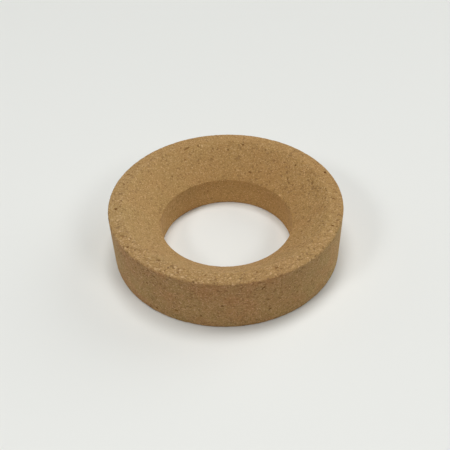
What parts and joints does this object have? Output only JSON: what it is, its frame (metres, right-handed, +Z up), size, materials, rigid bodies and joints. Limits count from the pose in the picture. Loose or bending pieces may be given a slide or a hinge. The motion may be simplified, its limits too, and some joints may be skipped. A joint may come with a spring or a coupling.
{
  "type": "cork ring",
  "caption": "Low ring of pressed cork with a flat rim, a conical seat and a straight through bore. It stands a round-bottomed flask on a bench.",
  "frame": {"origin": "centre of the flat foot, on the ring's axis", "axes": "+Z up along the ring's axis, from the foot towards the seat's mouth; X and Y are any two directions across it"},
  "size_m": [0.11, 0.11, 0.0272],
  "materials": {
    "cork": "matte"
  },
  "bodies": {
    "root": {"cork_ring": "cork"}
  },
  "joints": []
}
